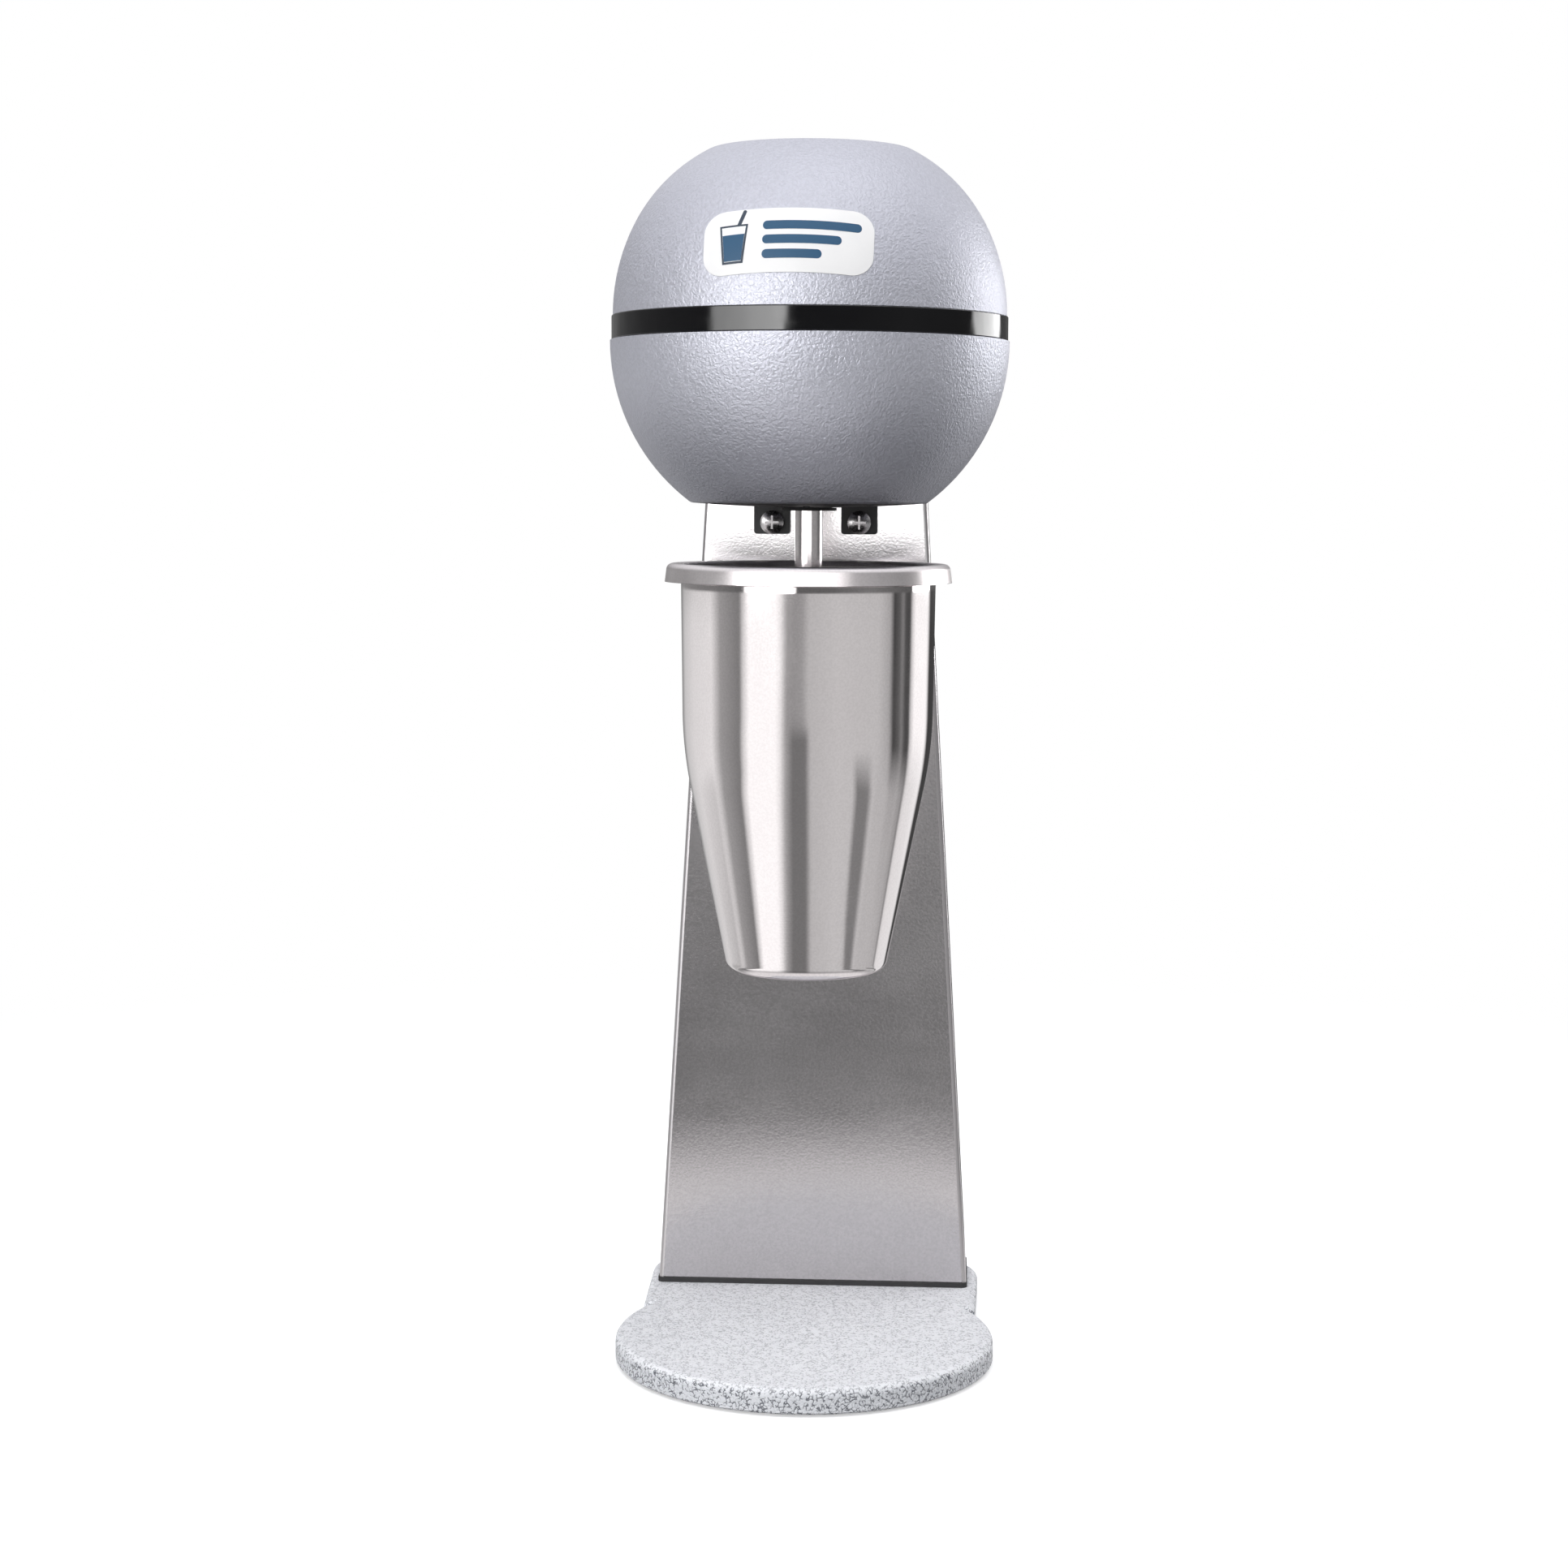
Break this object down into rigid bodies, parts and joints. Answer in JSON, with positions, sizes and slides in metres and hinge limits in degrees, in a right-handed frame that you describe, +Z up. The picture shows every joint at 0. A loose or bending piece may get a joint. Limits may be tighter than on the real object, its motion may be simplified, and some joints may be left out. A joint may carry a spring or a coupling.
{
  "type": "milkshake mixer",
  "caption": "Countertop single-spindle drinks mixer: ball head on a tapered steel column and round base, with a hanging metal cup.",
  "frame": {"origin": "centre of the object's footprint box, on the surface that it stands on; the spindle axis is at x 0, y -0.01995", "axes": "+X to the right as the user faces the front, +Y towards the back, +Z up along the spindle"},
  "size_m": [0.1562, 0.196, 0.4822],
  "materials": {
    "hammertone_paint": "hammertone enamel on cast metal, silver grey with darker veins",
    "head_paint": "light grey powder coat with a fine orange-peel texture",
    "gloss_band": "gloss black",
    "column_steel": "satin stainless sheet with a fine, slightly leathery grain",
    "polished_steel": "mirror-polished stainless steel",
    "black_paint": "satin black",
    "bright_screws": "bright plated steel",
    "rubber": "matte black rubber",
    "badge_film": "satin off-white label film with a plain tumbler picture",
    "black_plastic": "fine textured black moulding",
    "plain_steel": "zinc-plated steel",
    "cast_aluminium": "die-cast, as cast",
    "lamination_steel": "stacked laminations, varnished",
    "copper": "enamelled copper",
    "brass_parts": "drawn brass",
    "carbon": "sintered carbon",
    "capacitor_case": "moulded case",
    "lead_insulation": "smooth insulated wire"
  },
  "bodies": {
    "root": {"base_casting": "hammertone_paint", "rubber_feet": "rubber", "foot_screws": "plain_steel", "column_bolts": "plain_steel", "column_gasket": "rubber", "column_foot_plate": "plain_steel", "column_channel": "column_steel", "column_rear_cover": "column_steel", "rear_cover_screws": "bright_screws", "column_top_cap": "black_plastic", "cord_gland": "black_plastic", "gland_locknut": "black_plastic", "switch_housing": "black_plastic", "terminal_block": "black_plastic", "internal_leads": "lead_insulation", "lead_grommets": "rubber", "hanger_bracket": "plain_steel", "hanger_guide_rod": "plain_steel", "hanger_spring": "plain_steel", "cup_support_screws": "bright_screws", "microswitch_body": "black_plastic", "microswitch_screws": "plain_steel", "cup_rest": "column_steel", "cup_rest_pad": "rubber", "head_lower_shell": "head_paint", "head_band": "gloss_band", "head_upper_shell": "head_paint", "front_badge": "badge_film", "motor_chassis": "black_paint", "ear_screws": "bright_screws", "chassis_screws": "bright_screws", "head_bracket": "plain_steel", "motor_mount_screws": "plain_steel", "lower_motor_bracket": "cast_aluminium", "isolator_bushes": "rubber", "upper_motor_bracket": "cast_aluminium", "motor_through_bolts": "plain_steel", "tie_rods": "plain_steel", "stator_core": "lamination_steel", "field_coils": "copper", "brush_holders": "brass_parts", "carbon_brushes": "carbon", "brush_springs": "plain_steel", "suppressor_capacitor": "capacitor_case", "bearing_outer_rings": "bright_screws", "bearing_balls": "bright_screws", "spindle_seal": "rubber"},
    "rotor": {"armature_core": "lamination_steel", "armature_windings": "copper", "commutator": "copper", "motor_shaft": "plain_steel", "cooling_fan": "black_plastic", "bearing_inner_rings": "bright_screws", "spindle": "polished_steel", "agitator": "polished_steel", "agitator_screw": "polished_steel"},
    "rocker": {"switch_rocker": "black_plastic"},
    "hanger": {"cup_hanger": "plain_steel"},
    "plunger": {"microswitch_plunger": "black_plastic"},
    "cup": {"cup": "polished_steel"}
  },
  "joints": [
    {"name": "spindle_spin", "type": "hinge", "parent": "root", "child": "rotor", "pos_m": [0, -0.01995, 0.25], "axis": [0, 0, 1], "continuous": true},
    {"name": "rocker_tilt", "type": "hinge", "parent": "root", "child": "rocker", "pos_m": [0, 0.07855, 0.246], "axis": [0, 0, 1], "range_deg": [0, 16]},
    {"name": "hanger_slide", "type": "slide", "parent": "root", "child": "hanger", "axis": [0, 0, 1], "range_m": [0, 0.0015], "stiffness_N_per_m": 250, "springref_m": 0.005, "deforming": ["hanger_spring"]},
    {"name": "plunger_slide", "type": "slide", "parent": "root", "child": "plunger", "axis": [0, 0, 1], "range_m": [0, 0.0015]},
    {"name": "cup_lift", "type": "slide", "parent": "hanger", "child": "cup", "axis": [0, 0, 1], "range_m": [0, 0.007]}
  ],
  "couplings": [
    {"joint": "plunger_slide", "follows": "hanger_slide", "ratio": 1}
  ]
}
